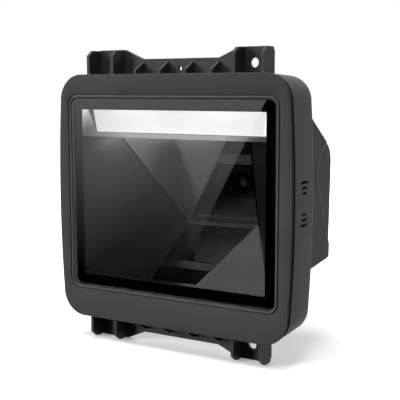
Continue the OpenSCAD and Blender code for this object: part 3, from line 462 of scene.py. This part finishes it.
def make_bezel():
    """Bezel: rings carried from the glass pocket over the bead's ledge, its groove, the face and the rounded
    rim, to the spigot and the view opening behind the glass; four bosses stand on the back."""
    bead_out = GLASS_GAP + BEAD_W
    groove_out = bead_out + BEAD_GROOVE_W
    turn_in = 0.3 * SOFT_EDGE
    pocket = [glass_ring(GLASS_GAP, MASK_BACK)]
    ledge = [glass_ring(GLASS_GAP, BEAD_LOW), glass_ring(bead_out, BEAD_LOW)]
    groove = [glass_ring(bead_out, BEAD_GROOVE_DEEP), glass_ring(groove_out, BEAD_GROOVE_DEEP),
              glass_ring(groove_out, SOFT_EDGE), glass_ring(groove_out + turn_in, turn_in),
              glass_ring(groove_out + SOFT_EDGE, 0)]
    rim = [body_ring(BEZEL_EDGE * (1 - math.sin(t)), BEZEL_EDGE * (1 - math.cos(t)))
           for t in np.linspace(0, math.pi / 2, 7)]
    back = [body_ring(0, BEZEL_RIM - SOFT_EDGE), body_ring(SOFT_EDGE, BEZEL_RIM),
            body_ring(SPIGOT_IN, BEZEL_RIM), body_ring(SPIGOT_IN, BEZEL_BACK),
            view_ring(VIEW_PAST, BEZEL_BACK), view_ring(VIEW_PAST, MASK_BACK)]
    shell = np.stack(pocket + ledge + groove + rim + back)
    wall = [(BOSS_HOLE_R, BEZEL_BACK), (BOSS_R, BEZEL_BACK), (BOSS_R, BOSS_SPLIT), (BOSS_HOLE_R, BOSS_SPLIT)]
    bosses = [lathe(wall, (sx * BOSS_X, FACE_Y, sz * BOSS_Z), (0, 1, 0), shell.shape[1])
              for sx in (-1, 1) for sz in (-1, 1)]
    mesh = surface_mesh("bezel_shape", [shell] + bosses, close_v=True)
    piece = add_piece("bezel", mesh, housing, sharp=40)
    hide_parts("front_bezel")


def make_bead():
    """Polished bead round the glass: a sine arch over a flat foot, carried round the glass. Its plastic is a
    lighter tone than the housing's, a painted highlight.
    """
    rise = [glass_ring(GLASS_GAP + BEAD_W * (1 - math.cos(t)) / 2, BEAD_LOW * (1 - math.sin(t)))
            for t in np.linspace(0, math.pi, 13)]
    mesh = surface_mesh("bead_shape", [np.stack(rise)], close_v=True)
    add_piece("window_bead", mesh, bead_satin_painted_highlight, sharp=60)


def make_glass():
    """Window glass: a flat plate whose front edge has a small polished bevel, eased towards the face."""
    bevel = [glass_ring(-GLASS_BEVEL * (1 - t) - GLASS_FACE_IN * (t == 0), GLASS_BEVEL * t)
             for t in (0, 0.5, 1)]
    back = glass_ring(0, GLASS_BACK - GLASS_FILM)
    mesh = surface_mesh("glass_shape", [np.stack(bevel + [back])], caps=True)
    piece = add_piece("window_pane", mesh, window_clear, sharp=20)
    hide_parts("window_glass")


make_bezel()
make_bead()
make_glass()


# Housing, chamber, mirror and light

def straighten(piece):
    """Back wall of the camera pocket made one plane: the corners under its rim move forward to the line from
    the rim's top edge to the lens seat."""
    near = 0.05 * MM
    spots = np.empty(3 * len(piece.data.vertices))
    piece.data.vertices.foreach_get("co", spots)
    spots = spots.reshape(-1, 3)
    folded = np.stack([np.abs(spots[:, 0]), spots[:, 1] - FACE_Y, spots[:, 2]], -1)
    spots[np.linalg.norm(folded - POCKET_RIM, axis=1) < near, 1] -= POCKET_RIM_MOVE
    piece.data.vertices.foreach_set("co", spots.ravel())
    piece.data.update()


dressed("rear_housing", housing, bevel=0.35 * MM)
dressed("body_gasket", rubber, bevel=0.1 * MM)
dressed("optical_chamber", chamber_black, bevel=0.15 * MM, sharp=34)
straighten(dressed("floor_insert", insert_black, bevel=0.15 * MM, sharp=20))
dressed("label_plate", label_black, bevel=0.08 * MM)
dressed("fold_mirror", mirror_silver, bevel=0.12 * MM)
dressed("light_box", reflector, bevel=0.15 * MM)
dressed("light_diffuser", diffuser_lit, bevel=0.12 * MM)
dressed("interface_jack", moulded_black, bevel=0.15 * MM)


def make_strip_trim():
    """Thin white trim before the strip: a stepped section carried along a U, down one end cheek, along the
    shelf's front edge and up the other cheek, with round corners. Section points are (side, floor, depth)."""
    section = np.array([(51.55, 30.25, 3.95), (51.55, 30.25, 4.38), (51.42, 31.9, 4.38), (51.42, 31.9, 5.95),
                        (51.25, 32.1, 5.95), (51.25, 32.1, 3.95)]) * MM
    corner, top = 0.8 * MM, 45.5 * MM
    side, floor, depth = section.T
    turn = np.linspace(0, math.pi / 2, 7)[:, None]
    leg = np.stack([side, np.full_like(side, top)], -1)[None]
    arc = np.stack([side - corner + corner * np.cos(turn), floor + corner - corner * np.sin(turn)], -1)
    middle = np.linspace(1, -1, 15)[1:-1, None]
    lip = np.stack([(side - corner) * middle, np.broadcast_to(floor, (len(middle), len(floor)))], -1)
    flat = np.concatenate([leg, arc, lip, arc[::-1] * [-1, 1], leg * [-1, 1]])
    grid = np.stack([flat[..., 0], np.broadcast_to(FACE_Y + depth, flat.shape[:2]), flat[..., 1]], -1)
    mesh = surface_mesh("trim_shape", [grid], caps=True)
    add_piece("strip_trim", mesh, trim_painted_glow, sharp=40)


def make_strip_cheek():
    """End cheek of the strip: a thin plate whose free edge slants in towards the shelf, drawn as a flat
    section that narrows with height."""
    foot, top, held_at = 32.2 * MM, 45.5 * MM, 51.4 * MM
    free_at, free_height, slant = 49.2 * MM, 43.3 * MM, 0.464
    front, back = FACE_Y + 5.6 * MM, FACE_Y + 5.9 * MM
    z = np.linspace(foot, top, 9)[:, None]
    held = np.full_like(z, -held_at)
    free = (free_height - z) * slant - free_at
    side = np.concatenate([held, held, free, free], 1)
    depth = np.broadcast_to([front, back, back, front], side.shape)
    grid = np.stack([side, depth, np.broadcast_to(z, side.shape)], -1)
    mesh = surface_mesh("cheek_shape", [grid], caps=True)
    add_piece("strip_cheek", mesh, trim_painted_glow, sharp=40)


def edge_strips(name, start, end, inward, lift, wide, thick, material):
    """Pair of thin strips, one each side: a flat section of a width and thickness carried along a straight
    edge. Points are (side, depth, height), and all sizes are in millimetres."""
    start, end, inward, lift = (np.array(v) for v in (start, end, inward, lift))
    path = start + np.linspace(0, 1, 9)[:, None] * (end - start)
    section = np.array([(0, 0), (1, 0), (1, 1), (0, 1)]) * [wide, thick]
    grid = path[:, None] + section[None, :, :1] * inward + section[None, :, 1:] * lift
    strips = [grid * [side * MM, MM, MM] + [0, FACE_Y, 0] for side in (1, -1)]
    mesh = surface_mesh(name + "_shape", strips, caps=True)
    add_piece(name, mesh, material, sharp=40)


def make_relief_lips():
    """Low rounded lip before the relief on each side of the hump: a sine arch carried along two straight runs
    that an arc joins, the arc tangent to both."""
    runs = np.stack([RELIEF_TOP, RELIEF_LOW]) - RELIEF_NOSE
    to_top, to_low = runs / np.linalg.norm(runs, axis=1)[:, None]
    half = math.acos(to_top @ to_low) / 2
    axis = (to_top + to_low) / np.linalg.norm(to_top + to_low)
    beside = np.array([-axis[1], axis[0]])
    swing = np.linspace(math.pi / 2 - half, half - math.pi / 2, 17)[:, None]
    out = beside * np.sin(swing) - axis * np.cos(swing)
    centre = RELIEF_NOSE + axis * RELIEF_R / math.sin(half)
    path = np.concatenate([[RELIEF_TOP], centre + RELIEF_R * out, [RELIEF_LOW]])
    out = np.concatenate([out[:1], out, out[-1:]])
    arch = np.linspace(0, math.pi, 9)
    across = RELIEF_LIP_W * (RELIEF_LIP_OFF + (1 - np.cos(arch)) / 2)
    rise = HUMP_SIDE - RELIEF_LIP_SUNK + RELIEF_LIP_H * np.sin(arch)
    flat = path[:, None] + across[None, :, None] * out[:, None]
    grid = np.stack([np.broadcast_to(rise, flat.shape[:2]), FACE_Y + flat[..., 0], flat[..., 1]], -1)
    mesh = surface_mesh("relief_lip_shape", [grid, grid * [-1, 1, 1]], caps=True)
    # The lips wear the bead's lighter plastic: a painted highlight along the relief's edge.
    add_piece("relief_lips", mesh, bead_satin_painted_highlight, sharp=60)


make_strip_trim()
make_strip_cheek()
# Thin black strips along the mirror's side edges stand in for the dark gap there: painted shade.
edge_strips("mirror_edge_shade", start=(-36.5, 15.3, 30.2), end=(-21.8, 54.3, -16.3), inward=(1, 0, 0),
            lift=(0, -0.766, -0.643), wide=0.6, thick=0.15, material=rubber)
# Lighter strips along the creases between the walls and the chamber floor: a painted highlight.
edge_strips("floor_crease_highlight", start=(-51.5, 5.0, -38.7), end=(-21.8, 54.0, -16.4), inward=(0.7, 0, 0.1),
            lift=(0, 0, 0.5), wide=0.5, thick=0.5, material=crease_painted_highlight)
make_relief_lips()

FINISHES = {
    "window_mask": mask_black, "mirror_clips": steel, "light_board": board_green, "light_emitters": emitter,
    "lens_holder": lens_black, "lens_barrel": lens_black, "lens_glass": lens_coated,
    "image_sensor": chip_black, "camera_board": board_green, "main_board": board_green,
    "board_chips": chip_black, "interface_board": board_green, "sounder": moulded_black,
    "sounder_seal": rubber,
}
for node_name, finish in FINISHES.items():
    nodes[node_name].data.materials.clear()
    nodes[node_name].data.materials.append(finish)


# Screws and contacts

def make_screws():
    """Pan-head screws in the rear recesses: a dome over radius and angle with a cross drive pressed in."""
    brim, dome_power = 0.45, 2.6
    cross_half, cross_soft, cross_reach, cross_fade, cross_deep = 0.16, 0.05, 0.62, 0.08, 0.7
    radius = np.linspace(0.02, 1, 22)
    angle = np.linspace(0, 2 * math.pi, 72, endpoint=False)
    r, a = np.meshgrid(radius, angle, indexing="ij")
    across = np.minimum(np.abs(r * np.cos(a)), np.abs(r * np.sin(a)))
    in_arm = np.clip((cross_half - across) / cross_soft, 0, 1)
    in_reach = np.clip((cross_reach - r) / cross_fade, 0, 1)
    dome = brim + (1 - brim) * np.sqrt(np.clip(1 - r ** dome_power, 0, 1))
    height = SCREW_HEAD_H * (dome - cross_deep * in_arm * in_reach)
    head = np.stack([r * np.cos(a) * SCREW_HEAD_R, height, r * np.sin(a) * SCREW_HEAD_R], -1)
    skirt = head[-1:] * [1, 0, 1]
    screw = np.concatenate([head, skirt])
    seat = FACE_Y + BODY_BACK - SCREW_DEEP
    screws = [screw + np.array([sx * BOSS_X, seat, sz * BOSS_Z]) for sx in (-1, 1) for sz in (-1, 1)]
    mesh = surface_mesh("screw_shape", screws, caps=True)
    add_piece("housing_screws", mesh, screw_steel, sharp=35)


def make_contacts():
    """Spring contacts of the socket: eight flat wires that run in from the back and bend down towards the
    mouth, a flat section carried along a sine arch."""
    count, pitch, wide, thick = 8, 1.02 * MM, 0.45 * MM, 0.25 * MM
    inset, reach, foot, bend = 1.4 * MM, 7.5 * MM, 1.5 * MM, 2.6 * MM
    bend_share, bend_power = 1.15, 0.8
    t = np.linspace(0, 1, 14)
    arch = np.sin(math.pi * np.clip(t * bend_share, 0, 1)) ** bend_power
    middle = np.full_like(t, (JACK_LOW.x + JACK_HIGH.x) / 2)
    path = np.stack([middle, JACK_LOW.y + inset + t * reach, JACK_LOW.z + foot + bend * arch], -1)
    section = np.array([(-1, 0, -1), (1, 0, -1), (1, 0, 1), (-1, 0, 1)]) / 2 * [wide, 0, thick]
    places = (np.arange(count) - (count - 1) / 2) * pitch
    wires = path[:, None] + section + places[:, None, None, None] * [1, 0, 0]
    mesh = surface_mesh("contact_shape", wires, caps=True)
    add_piece("socket_contacts", mesh, gold, sharp=40)


make_screws()
make_contacts()


# Stage, lights and camera

def ray_switch(tree):
    """1 for camera, glossy and transmission rays, which see white; 0 for the rays that light things."""
    path = tree.nodes.new("ShaderNodeLightPath")
    mirrored_ray = maths(tree, "MAXIMUM", path.outputs["Is Glossy Ray"], path.outputs["Is Transmission Ray"])
    seen = maths(tree, "MAXIMUM", path.outputs["Is Camera Ray"], mirrored_ray)
    return maths(tree, "MULTIPLY", seen, maths(tree, "LESS_THAN", path.outputs["Diffuse Depth"], 0.5))


def make_world(light_level):
    """Plain surroundings: white where they are seen, and a low even light elsewhere."""
    world = bpy.data.worlds.new("studio")
    bpy.context.scene.world = world
    world.use_nodes = True
    tree = world.node_tree
    tree.nodes.clear()
    output = tree.nodes.new("ShaderNodeOutputWorld")
    light, white = tree.nodes.new("ShaderNodeBackground"), tree.nodes.new("ShaderNodeBackground")
    light.inputs["Strength"].default_value = light_level
    white.inputs["Strength"].default_value = 1
    light.inputs["Color"].default_value = white.inputs["Color"].default_value = (1, 1, 1, 1)
    pick = tree.nodes.new("ShaderNodeMixShader")
    tree.links.new(ray_switch(tree), pick.inputs["Fac"])
    tree.links.new(light.outputs["Background"], pick.inputs[1])
    tree.links.new(white.outputs["Background"], pick.inputs[2])
    tree.links.new(pick.outputs["Shader"], output.inputs["Surface"])


def make_floor(level):
    """Pale floor under the reader, a flat grid, topped up to white where no shadow falls and further off."""
    reach, steps, tone = 8.0, 5, 0.85
    near, far, near_glow, far_glow = 0.1, 0.7, 0.29, 1
    x, y = np.meshgrid(np.linspace(-reach, reach, steps), np.linspace(-reach, reach, steps))
    grid = np.stack([x, y, np.full_like(x, level)], -1)
    mesh = bpy.data.meshes.new("floor_shape")
    mesh.from_pydata(grid.reshape(-1, 3).tolist(), [], grid_faces(steps, steps, 0, close_u=False))
    material, tree, output = bare_material("floor_white")
    matt, glow = tree.nodes.new("ShaderNodeBsdfDiffuse"), tree.nodes.new("ShaderNodeEmission")
    matt.inputs["Color"].default_value = (tone, tone, tone, 1)
    place, length = tree.nodes.new("ShaderNodeTexCoord"), tree.nodes.new("ShaderNodeVectorMath")
    length.operation = "LENGTH"
    tree.links.new(place.outputs["Object"], length.inputs[0])
    rise = ramp(tree, length.outputs["Value"], near, far, near_glow, far_glow)
    tree.links.new(maths(tree, "MULTIPLY", ray_switch(tree), rise), glow.inputs["Strength"])
    total = tree.nodes.new("ShaderNodeAddShader")
    tree.links.new(matt.outputs["BSDF"], total.inputs[0])
    tree.links.new(glow.outputs["Emission"], total.inputs[1])
    tree.links.new(total.outputs["Shader"], output.inputs["Surface"])
    mesh.materials.append(material)
    floor = bpy.data.objects.new("floor", mesh)
    bpy.context.collection.objects.link(floor)
    for kind in ("diffuse", "glossy", "transmission"):
        setattr(floor, "visible_" + kind, False)


def stage_card(name, corners, material):
    """Flat card between four corners, a grid between its two edges; only reflections show it."""
    lower, upper = np.array(corners[:2]), np.array(corners[2:])
    share = np.linspace(0, 1, 9)[:, None]
    rows = np.stack([edge[0] + share * (edge[1] - edge[0]) for edge in (lower, upper)])
    mesh = bpy.data.meshes.new(name + "_shape")
    mesh.from_pydata(rows.reshape(-1, 3).tolist(), [], grid_faces(*rows.shape[:2], 0, close_u=False))
    mesh.materials.append(material)
    card = bpy.data.objects.new(name, mesh)
    bpy.context.collection.objects.link(card)
    for kind in ("camera", "diffuse", "shadow", "volume_scatter"):
        setattr(card, "visible_" + kind, False)


def card_material(name, low, high, power):
    """Card that glows from black at a low height to white at a high one, along a power curve; a second
    reflection sees it white, as the rest of the surroundings."""
    material, tree, output = bare_material(name)
    glow = tree.nodes.new("ShaderNodeEmission")
    path = tree.nodes.new("ShaderNodeLightPath")
    _, _, z = own_place(tree)
    curve = maths(tree, "POWER", ramp(tree, z, low, high, 0, 1), power)
    deep = maths(tree, "GREATER_THAN", path.outputs["Glossy Depth"], 1.5)
    tree.links.new(maths(tree, "MAXIMUM", curve, deep), glow.inputs["Strength"])
    tree.links.new(glow.outputs["Emission"], output.inputs["Surface"])
    return material


def make_cards():
    """Cards before the window: a black flag whose slanting edge crosses the glass, and a sweep that darkens
    downwards beside it."""
    y, top, foot, left, right = -3.0, 2.5, -2.5, -9.0, 6.0
    edge_top, edge_foot = -0.07, -2.775
    sweep_top, sweep_black, sweep_power = 0.007, -0.867, 1.6
    past_top = 10
    edge_mid = edge_foot + (edge_top - edge_foot) * (sweep_top - foot) / (top - foot)
    flag = card_material("flag_black", past_top, past_top + 1, 1)
    corners = [(edge_foot, y, foot), (right, y, foot), (edge_top, y, top), (right, y, top)]
    stage_card("flag", corners, flag)
    sweep = card_material("sweep_grey", sweep_black, sweep_top, sweep_power)
    corners = [(left, y, foot), (edge_foot, y, foot), (left, y, sweep_top), (edge_mid, y, sweep_top)]
    stage_card("sweep", corners, sweep)


def add_area(name, at, target, size, power, spread_degrees):
    """Soft box at a point, turned to a target, not seen itself."""
    light = bpy.data.lights.new(name, "AREA")
    light.shape = "RECTANGLE"
    light.size, light.size_y = size
    light.energy = power
    light.spread = math.radians(spread_degrees)
    lamp = bpy.data.objects.new(name, light)
    bpy.context.collection.objects.link(lamp)
    lamp.location = at
    lamp.rotation_euler = (Vector(target) - Vector(at)).to_track_quat("-Z", "Y").to_euler()
    for kind in ("camera", "glossy", "transmission"):
        setattr(lamp, "visible_" + kind, False)


def add_camera():
    """Camera at its fitted place: its axes are the look, and the right and up that stand square to it."""
    data = bpy.data.cameras.new("camera")
    data.lens, data.sensor_width, data.sensor_fit = CAMERA_LENS, CAMERA_SENSOR, "HORIZONTAL"
    data.clip_start = CAMERA_NEAR
    camera = bpy.data.objects.new("camera", data)
    bpy.context.collection.objects.link(camera)
    look = CAMERA_LOOK.normalized()
    right = look.cross(CAMERA_UP).normalized()
    up = right.cross(look)
    turn = Matrix((right, up, -look)).transposed()
    camera.matrix_world = Matrix.Translation(CAMERA_AT) @ turn.to_4x4()
    bpy.context.scene.camera = camera


# Lamps: name, place, target, size, watts and spread in degrees; the spills light the inside of the chamber

MIDDLE = (0, 0, 0)
LAMPS = [
    ("key", (-0.85, -0.95, 0.25), MIDDLE, (0.5, 0.5), 20.5, 180),
    ("side", (1.1, 0.25, 0.05), MIDDLE, (0.35, 0.35), 4.2, 180),
    ("top", (-0.05, -0.25, 1.1), MIDDLE, (0.7, 0.7), 15, 180),
    ("back", (-0.25, 1.2, 0.6), MIDDLE, (0.6, 0.6), 12, 180),
    ("strip_spill", (-0.010, -0.004, 0.0296), (-0.010, 0.006, 0.0296), (0.052, 0.001), 0.0062, 100),
    ("wall_spill", (-0.020, -0.0085, 0.029), (-0.050, -0.006, 0.016), (0.003, 0.003), 0.0045, 170),
    ("corner_spill", (-0.037, -0.0063, 0.0297), (-0.040, -0.003, 0.020), (0.008, 0.002), 0.0028, 175),
    ("pocket_spill", (0.009, 0.017, -0.030), (0.007, 0.031, -0.027), (0.004, 0.003), 0.0012, 140),
]

make_world(light_level=0.06)
make_floor(cad_box[0][2])
make_cards()
for lamp in LAMPS:
    add_area(*lamp)
add_camera()
bpy.context.scene.view_settings.view_transform = "Standard"
